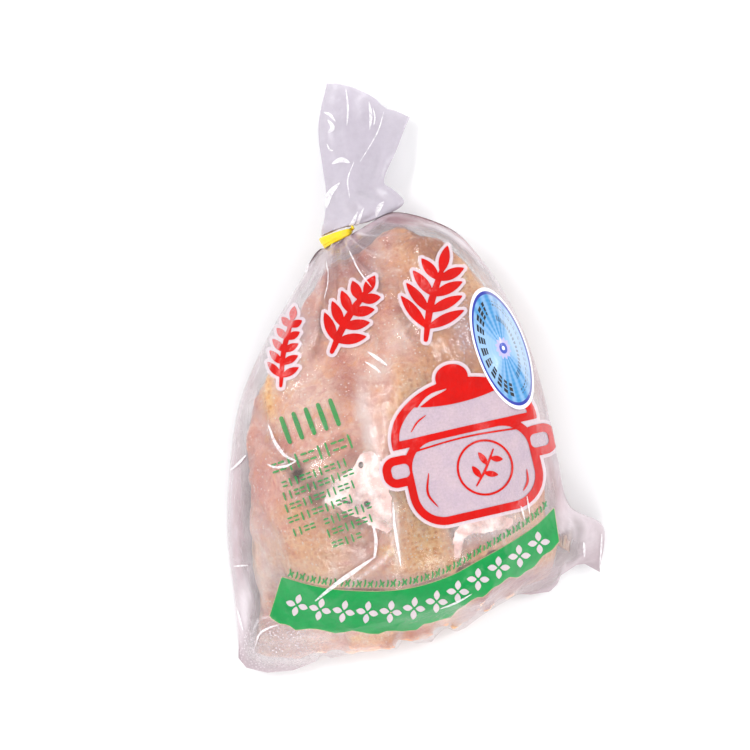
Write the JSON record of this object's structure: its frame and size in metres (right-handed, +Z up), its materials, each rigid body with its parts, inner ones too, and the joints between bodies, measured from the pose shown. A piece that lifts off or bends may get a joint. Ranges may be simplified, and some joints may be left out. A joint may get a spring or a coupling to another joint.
{
  "type": "bagged raw whole chicken",
  "caption": "Small frozen dressed chicken lying on its back in a thin clear printed bag, whose neck is gathered and held by a wound band, with an oval label on one side.",
  "frame": {"origin": "middle of the bounding box's underside, on the surface the bag lies on", "axes": "+Z up, +Y along the bag from its sealed bottom to its tied mouth, +X to the right as the printed side is read"},
  "size_m": [0.1396, 0.2056, 0.069],
  "materials": {
    "film": "thin clear film drawn over pale pink and yellow skin",
    "band": "satin yellow tape",
    "label": "printed coated paper"
  },
  "bodies": {
    "root": {"bag": "film", "neck_band": "band", "label": "label"}
  },
  "joints": []
}
